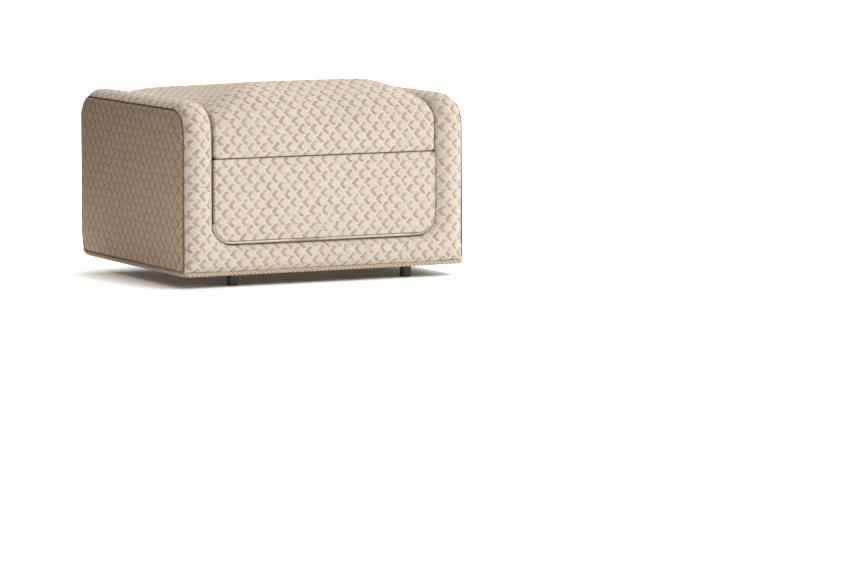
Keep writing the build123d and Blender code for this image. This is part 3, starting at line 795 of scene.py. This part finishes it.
slab_low = (-seat_half_width, -half_depth, seat_bottom)
slab = block("slab", slab_low, (seat_half_width, seat_rear, seat_crest))
apply_modifier(slab, "REMESH", mode="VOXEL", voxel_size=slab_voxel)
places = points_of(slab.data)
nose_y = seat_nose_depth - half_depth
back_share = np.clip((places[:, 1] - nose_y) / (seat_rear - nose_y), 0, 1)
ridge = seat_crest - (seat_crest - seat_rear_top) * back_share
end_share = np.clip((np.abs(places[:, 0]) - seat_half_width + seat_end_width) / seat_end_width, 0, 1)
crest = ridge - (ridge - seat_end_top) * end_share ** seat_end_power
roll_share = np.clip((np.abs(places[:, 0]) - seat_half_width + seat_end_roll) / seat_end_roll, 0, 1)
crest -= seat_end_fall * roll_share ** 2
nose_share = np.clip((nose_y - places[:, 1]) / seat_nose_depth, 0, 1)
crest = seat_nose_low + (crest - seat_nose_low) * np.sqrt(1 - nose_share ** 2)
lifted = (places[:, 2] - seat_bottom) * (crest - seat_bottom) / (seat_crest - seat_bottom)
places[:, 2] = seat_bottom + lifted
put_points(slab.data, places)
band_low = (-seat_half_width, -half_depth, band_bottom)
band = block("band", band_low, (seat_half_width, band_back, seat_bottom + band_overlap))
seat = joined([slab, band], "seat_cover")


def seat_seams(places):
    side = np.abs(places[:, 0]) > seat_half_width - seat_side_seam
    under = (places[:, 2] < seat_bottom + seat_under_seam) & (places[:, 1] > band_back - seam_catch)
    foot = places[:, 2] < band_bottom + seat_side_seam
    rear = places[:, 1] > seat_rear - seat_rear_seam
    rear = rear & (places[:, 2] < seat_rear_top - seat_rear_free)
    return side | under | foot | rear


def seat_room(places):
    kept = places.copy()
    reach = seat_half_width + seat_play
    kept[:, 0] = np.clip(kept[:, 0], -reach, reach)
    behind = kept[:, 1] > band_back + seat_play
    kept[behind, 2] = np.maximum(kept[behind, 2], seat_bottom)
    low = kept[:, 2] < seat_bottom - seat_play
    kept[low, 1] = np.minimum(kept[low, 1], band_back)
    kept[:, 2] = np.maximum(kept[:, 2], band_bottom - band_foot_play)
    return kept


puff_up(seat, seat_voxel, seat_bulge, seat_seams, seat_room, softened=4)
seat_line = [(-half_depth, band_bottom), (-half_depth, seat_nose_low)]
for step in range(1, 11):
    turn = math.radians(180 - 9 * step)
    seat_line.append((
        -half_depth + seat_nose_depth * (1 + math.cos(turn)),
        seat_nose_low + (seat_crest - seat_nose_low) * math.sin(turn),
    ))
seat_line += [(seat_rear, seat_rear_top), (seat_rear, seat_bottom)]


def seat_weave(places, normals):
    """The cover runs up the front and over the crest; its two ends lie flat."""
    run, _ = along(places[:, 1:], seat_line)
    shift_x, shift_up = weave_shift["seat"]
    top = np.stack([places[:, 0] + shift_x, run + band_bottom + shift_up], 1)
    ends = places[:, 1:] + np.array([weave_start, shift_up])
    return np.where((np.abs(normals[:, 0]) > sideways_share)[:, None], ends, top)


lay_weave(seat, seat_weave)
covered(seat, cover_fabric, "seat_section", "cover_fabric", 0.75, "seat_cushion", "band_padding")


# Piping: a thin cord in dark fabric sewn round each side panel, and a thicker twisted one along the
# hem of both sides and the front.
piping_radius = 0.0022
hem_radius = 0.0066
hem_inset = 0.004
hem_setback = 0.006
hem_lift = 0.003
rear_rise = 0.022
turn_radius = 0.016
panel_inset = 0.012
piping_lift = 0.0006
hem_dark = (0.30, 0.20, 0.13, 1)
piping_worn = (0.16, 0.11, 0.075, 1)
piping_dark = (0.10, 0.065, 0.045, 1)
piping_light = (0.55, 0.46, 0.36, 1)


def cord_tube(name, places, radius, finish, closed, body="casing"):
    """A round cord sewn along the given places, as a mesh."""
    line = bpy.data.curves.new(name, "CURVE")
    line.dimensions = "3D"
    line.bevel_depth = radius
    line.bevel_resolution = 3
    spline = line.splines.new("POLY")
    spline.points.add(len(places) - 1)
    for point, place in zip(spline.points, places):
        point.co = (*place, 1)
    spline.use_cyclic_u = closed
    tube = bpy.data.objects.new(name, line)
    bpy.context.scene.collection.objects.link(tube)
    activate(tube)
    bpy.ops.object.convert(target="MESH")
    tube = bpy.context.object
    tube.data.materials.clear()
    tube.data.materials.append(finish)
    bpy.ops.object.shade_smooth()
    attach(tube, body)
    return tube


def twisted_fabric(name, first, second, pitch, depth):
    """Cord covered in fabric cut on the bias: slanting bands of two colours with a raised edge."""
    material, tree, shader = make_material(name)
    place = tree.nodes.new("ShaderNodeTexCoord").outputs["Object"]
    axes = tree.nodes.new("ShaderNodeSeparateXYZ")
    tree.links.new(place, axes.inputs[0])
    slant = maths(tree, "ADD", axes.outputs["X"], axes.outputs["Y"])
    slant = maths(tree, "ADD", slant, maths(tree, "MULTIPLY", axes.outputs["Z"], 1.3))
    turn = maths(tree, "PINGPONG", maths(tree, "ADD", slant, 10.0), pitch / 2)
    speckle = maths(tree, "MULTIPLY", noise_of(tree, place, 160, 2), pitch * 0.35)
    twist = ramped(tree, maths(tree, "ADD", turn, speckle), pitch * 0.38, pitch * 0.52)
    tree.links.new(mixed(tree, twist, first, second), shader.inputs["Base Color"])
    height = maths(tree, "ADD", turn, maths(tree, "MULTIPLY", speckle, 0.3))
    tree.links.new(bumped(tree, height, depth, 0.8), shader.inputs["Normal"])
    shader.inputs["Roughness"].default_value = 0.85
    shader.inputs["Sheen Weight"].default_value = 0.2
    return material


panel_piping = twisted_fabric("panel_piping", piping_dark, piping_worn, 0.006, 0.3)
hem_piping = twisted_fabric("hem_piping", piping_light, hem_dark, 0.014, 0.25)
for side, side_name in ((-1, "left"), (1, "right")):
    places = []
    for y, z in side_line(panel_inset, 16, closed=False):
        _, place, normal, _ = arms_and_rail.closest_point_on_mesh(Vector((side * half_width, y, z)))
        places.append(place + piping_lift * normal)
    cord_tube(f"{side_name}_panel_piping", places, piping_radius, panel_piping, True)

foot_outline = side_line(hem_inset, closed=False)
rear_points = [p for p in foot_outline if p[1] < hem_height + rear_rise and p[0] > 0.2]
rear_points.sort(key=lambda p: -p[1])
hem_x = half_width - hem_setback
hem_y = hem_setback - half_depth
hem_z = hem_height + hem_lift
left_run = [(-hem_x, y, z) for y, z in rear_points] + [(-hem_x, hem_y + turn_radius, hem_z)]
for step in range(1, 7):
    turn = math.radians(15 * step)
    x = turn_radius * (1 - math.cos(turn)) - hem_x
    y = turn_radius * (1 - math.sin(turn)) + hem_y
    left_run.append((x, y, hem_z))
right_run = [(-x, y, z) for x, y, z in reversed(left_run)]
cord_tube("hem_piping_cord", left_run + right_run, hem_radius, hem_piping, False)

# The roll over the flap's hinge seam: straight along the hinge, round the corners, sunk at its ends.
roll_radius = 0.0030
roll_straight = 0.320
roll_corner = (0.0585, 0.0570)
roll_front = -0.4064
roll_sink = 0.0060
roll_height = 0.1371
roll_stretch = 0.1
roll_row = 0.517

hinge_seam = []
for side in (-1, 1):
    corner = []
    for step in range(11):
        turn = math.radians(9 * step)
        x = side * (roll_straight + roll_corner[0] * math.sin(turn))
        y = roll_front + roll_sink * min(1.0, 0.25 * step)
        corner.append((x, y, roll_height + roll_corner[1] * (1 - math.cos(turn))))
    hinge_seam += corner[::-1] if side < 0 else corner
seam_roll = cord_tube("hinge_seam_cover", hinge_seam, roll_radius, cover_fabric, False, "flap")


def roll_weave(places, normals):
    """One narrow strip of the fabric, stretched along the roll."""
    return np.stack([places[:, 0] * roll_stretch, np.full(len(places), roll_row)], 1)


lay_weave(seam_roll, roll_weave)


# Mattresses: foam in a woven ticking, sewn flat along their edges with channels across. One lies on
# the slats of the fixed section, one on those of the middle section.
mattress_half_width = 0.3555
mattress_half_length = 0.334
mattress_puff = 0.006
mattress_inset = 0.004
mattress_voxel = 0.012
mattress_rounding = 0.028
rim_height = 0.012
edge_seam = 0.006
channel_width = 0.006
channel_step = 0.111
channel_depth = 0.0035
mattress_play = 0.001
stripe_half_pitch = 0.011
stripe_edge = (0.0085, 0.0092)
stripe_share = 0.8
fine_half_pitch = 0.0016
fine_edge = (0.0012, 0.0015)
fine_share = 0.12
ticking_white = (0.72, 0.70, 0.65, 1)
ticking_stripe = (0.45, 0.43, 0.40, 1)

mattress_ticking, ticking, shader = make_material("mattress_ticking")
place = ticking.nodes.new("ShaderNodeTexCoord").outputs["Object"]
axes = ticking.nodes.new("ShaderNodeSeparateXYZ")
ticking.links.new(place, axes.inputs[0])
stripe = maths(ticking, "PINGPONG", maths(ticking, "ADD", axes.outputs["X"], 5.0), stripe_half_pitch)
fine = maths(ticking, "PINGPONG", maths(ticking, "ADD", axes.outputs["X"], 5.0), fine_half_pitch)
stripes = maths(ticking, "MULTIPLY", ramped(ticking, stripe, *stripe_edge), stripe_share)
fine_stripes = maths(ticking, "MULTIPLY", ramped(ticking, fine, *fine_edge), fine_share)
stripes = maths(ticking, "MAXIMUM", stripes, fine_stripes)
ticking.links.new(mixed(ticking, stripes, ticking_white, ticking_stripe), shader.inputs["Base Color"])
threads = noise_of(ticking, place, 900, 1)
lumps = noise_of(ticking, place, 30, 2)
threads = maths(ticking, "ADD", threads, maths(ticking, "MULTIPLY", lumps, 2.0))
ticking.links.new(bumped(ticking, threads, 0.0006, 0.7), shader.inputs["Normal"])
shader.inputs["Roughness"].default_value = 0.8
shader.inputs["Sheen Weight"].default_value = 0.15

for name, replaced, body, bottom, top in (
    ("base_mattress_cover", "base_mattress", "casing", 0.220, 0.309),
    ("middle_mattress_cover", "middle_mattress", "middle_section", 0.310, 0.399),
):
    half_x = mattress_half_width - mattress_inset
    half_y = mattress_half_length - mattress_inset
    mattress_low = (-half_x, -half_y, bottom + mattress_play)
    mattress = block(name, mattress_low, (half_x, half_y, top - mattress_play))
    round_edges(mattress, mattress_rounding, lambda p: True, 5)

    def mattress_seams(places):
        edge_x = np.abs(places[:, 0]) > half_x - edge_seam
        edge_y = np.abs(places[:, 1]) > half_y - edge_seam
        rim = (np.abs(places[:, 2] - bottom) < rim_height) | (np.abs(places[:, 2] - top) < rim_height)
        return (edge_x | edge_y) & rim

    def mattress_room(places):
        kept = places.copy()
        kept[:, 0] = np.clip(kept[:, 0], -mattress_half_width, mattress_half_width)
        kept[:, 1] = np.clip(kept[:, 1], -mattress_half_length, mattress_half_length)
        kept[:, 2] = np.clip(kept[:, 2], bottom, top)
        return kept

    puff_up(mattress, mattress_voxel, mattress_puff, mattress_seams, mattress_room, softened=3)
    places = points_of(mattress.data)
    face = np.minimum(np.abs(places[:, 2] - bottom), np.abs(places[:, 2] - top)) < rim_height
    to_channel = np.abs((places[:, 1] + channel_step / 2) % channel_step - channel_step / 2)
    depth = channel_depth * np.exp(-(to_channel / channel_width) ** 2) * face
    middle = (bottom + top) / 2
    places[:, 2] -= np.sign(places[:, 2] - middle) * depth
    put_points(mattress.data, places)
    covered(mattress, mattress_ticking, body, "mattress_ticking", 0.8, replaced)


# Boards, timber, slats, steel, bolts, legs and plastic keep their own shapes. Each gets the finish of
# its material: sawn wood, painted or plated steel, or moulded plastic.
def wood_finish(name, light, dark, ring_scale, turn, roughness):
    """Sawn wood: long rings along one axis, fibres and a fine pore relief."""
    material, tree, shader = make_material(name)
    place = tree.nodes.new("ShaderNodeTexCoord").outputs["Object"]
    lie = tree.nodes.new("ShaderNodeMapping")
    lie.inputs["Scale"].default_value = turn
    tree.links.new(place, lie.inputs["Vector"])
    rings = noise_of(tree, lie.outputs[0], ring_scale, 3)
    fibres = noise_of(tree, lie.outputs[0], ring_scale * 12, 2)
    bands = maths(tree, "PINGPONG", maths(tree, "MULTIPLY", rings, 6.0), 0.5)
    share = maths(tree, "ADD", bands, maths(tree, "MULTIPLY", fibres, 0.5))
    share = maths(tree, "MULTIPLY", share, 0.9, clamp=True)
    tree.links.new(mixed(tree, share, light, dark), shader.inputs["Base Color"])
    tree.links.new(bumped(tree, fibres, 0.0004, 0.5), shader.inputs["Normal"])
    shader.inputs["Roughness"].default_value = roughness
    return material


def painted_finish(name, colour, worn_colour, roughness, metallic, grain):
    """Paint or plating: slight mottle, fine orange-peel relief, a little duller in places."""
    material, tree, shader = make_material(name)
    place = tree.nodes.new("ShaderNodeTexCoord").outputs["Object"]
    mottle = ramped(tree, noise_of(tree, place, 45, 3), 0.35, 0.75)
    tree.links.new(mixed(tree, mottle, colour, worn_colour), shader.inputs["Base Color"])
    sheen = maths(tree, "MULTIPLY_ADD", mottle, 0.12, roughness)
    tree.links.new(sheen, shader.inputs["Roughness"])
    peel = noise_of(tree, place, grain, 2)
    tree.links.new(bumped(tree, peel, 0.0003, 0.35), shader.inputs["Normal"])
    shader.inputs["Metallic"].default_value = metallic
    return material


# Light and dark wood, scale of the rings, stretch across the grain, roughness.
woods = {
    "plywood": ((0.62, 0.47, 0.30, 1), (0.47, 0.33, 0.19, 1), 5.0, (1.0, 8.0, 8.0), 0.6),
    "timber": ((0.66, 0.50, 0.31, 1), (0.50, 0.34, 0.18, 1), 7.0, (6.0, 1.0, 6.0), 0.65),
    "slat_wood": ((0.72, 0.57, 0.38, 1), (0.58, 0.42, 0.25, 1), 6.0, (1.0, 9.0, 9.0), 0.45),
}
# Colour, colour where worn, roughness, metal share, scale of the fine relief.
paints = {
    "frame_steel": ((0.035, 0.035, 0.038, 1), (0.06, 0.06, 0.062, 1), 0.42, 0.3, 900),
    "zinc_steel": ((0.60, 0.61, 0.62, 1), (0.48, 0.49, 0.50, 1), 0.30, 1.0, 300),
    "leg_metal": ((0.040, 0.028, 0.022, 1), (0.060, 0.045, 0.036, 1), 0.40, 0.2, 700),
    "black_plastic": ((0.018, 0.018, 0.018, 1), (0.03, 0.03, 0.03, 1), 0.55, 0.0, 1200),
}
finishes = {name: wood_finish(name, *values) for name, values in woods.items()}
finishes.update({name: painted_finish(name, *values) for name, values in paints.items()})
finishes["cover_fabric"] = cover_fabric
finishes["mattress_ticking"] = mattress_ticking
for part in frame["record"]["subparts"]:
    solid = nodes[part["node"]]
    solid.data.materials.clear()
    solid.data.materials.append(finishes[part["material_slot"]])
